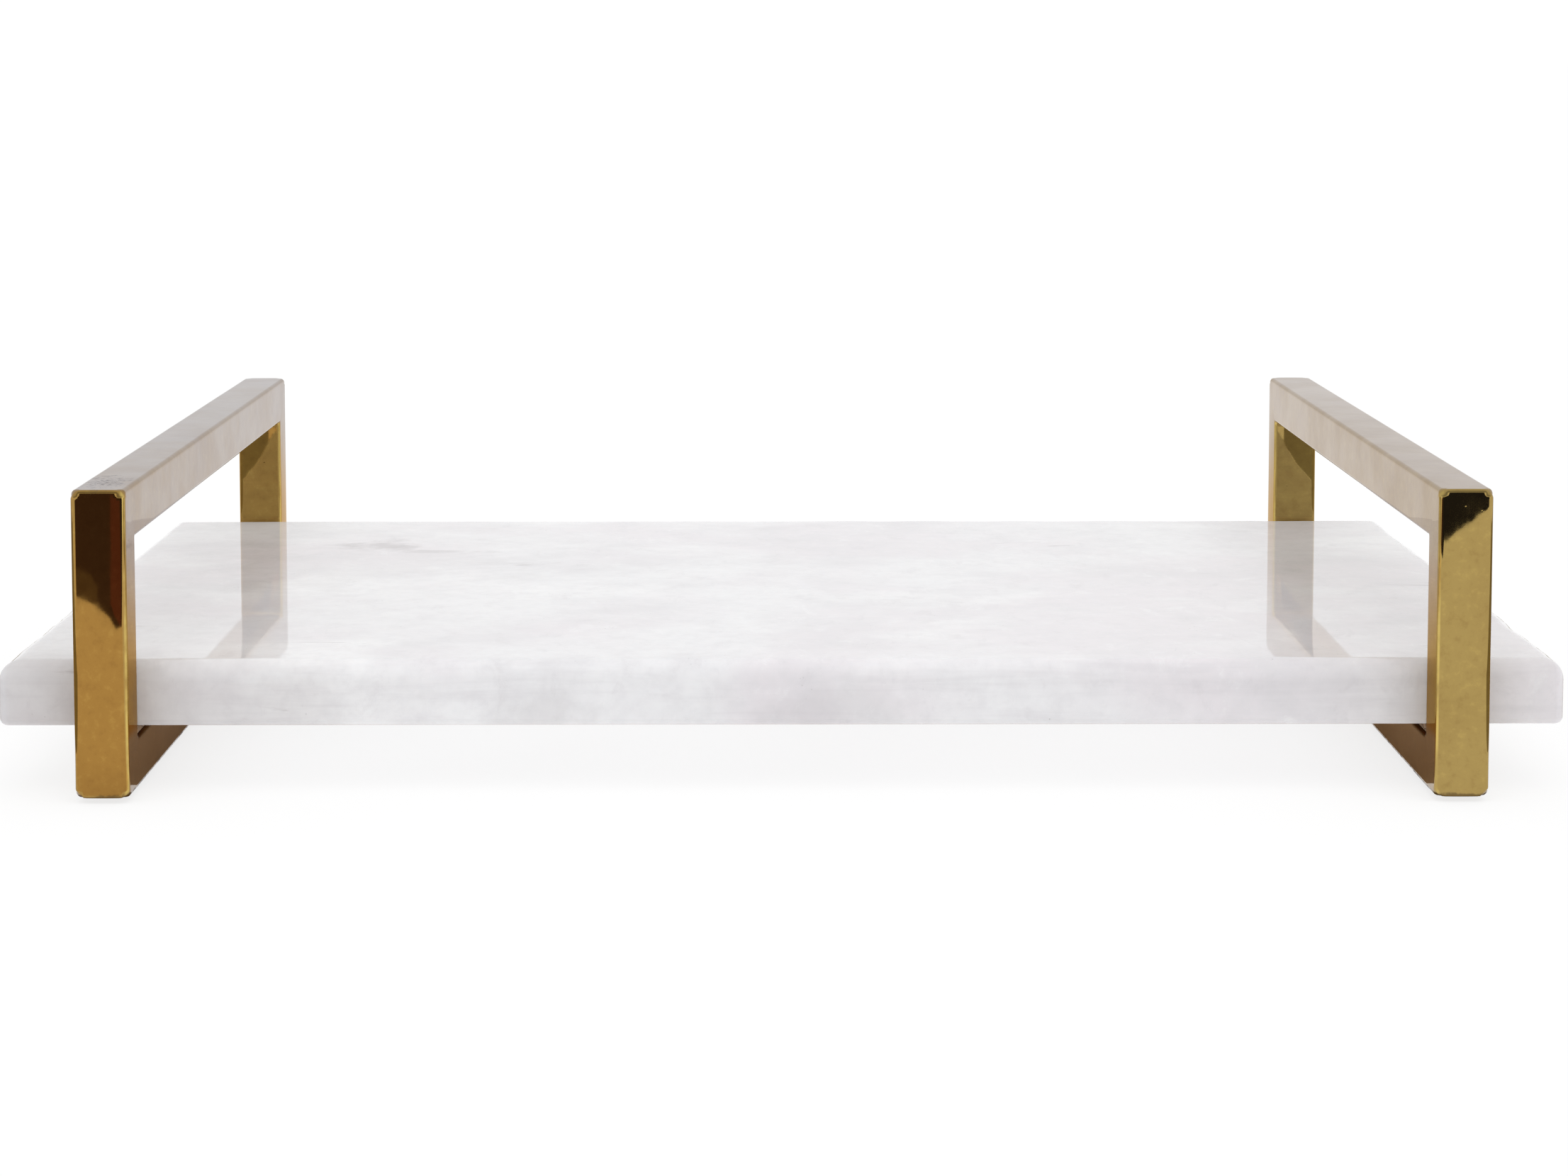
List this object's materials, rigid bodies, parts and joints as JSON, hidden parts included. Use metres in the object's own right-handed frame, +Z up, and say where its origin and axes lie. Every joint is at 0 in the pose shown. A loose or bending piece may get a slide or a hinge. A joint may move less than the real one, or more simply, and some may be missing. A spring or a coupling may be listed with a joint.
{
  "type": "vanity tray",
  "caption": "Rectangular stone serving or vanity tray: a polished marble slab carried in two closed rectangular brass loop handles that also form its feet.",
  "frame": {"origin": "middle of the tray on the surface it stands on, under the foot pads", "axes": "+X along the length of the slab to the right, +Y from front to rear, +Z up"},
  "size_m": [0.457, 0.3366, 0.0909],
  "materials": {
    "marble": "polished, near white with faint grey veins and clouds",
    "brass_bar": "hand-polished solid bar under clear lacquer",
    "cork_strip": "dark brown bonded cork and rubber strip, matt",
    "insert_brass": "turned, unpolished",
    "screw_steel": "satin stainless steel",
    "foot_rubber": "matt black"
  },
  "bodies": {
    "root": {"marble_slab": "marble", "left_grip_bar": "brass_bar", "left_front_post": "brass_bar", "left_rear_post": "brass_bar", "left_base_bar": "brass_bar", "right_grip_bar": "brass_bar", "right_front_post": "brass_bar", "right_rear_post": "brass_bar", "right_base_bar": "brass_bar", "left_bearing_strip": "cork_strip", "right_bearing_strip": "cork_strip", "threaded_inserts": "insert_brass", "handle_screws": "screw_steel", "left_front_foot": "foot_rubber", "left_rear_foot": "foot_rubber", "right_front_foot": "foot_rubber", "right_rear_foot": "foot_rubber"}
  },
  "joints": []
}
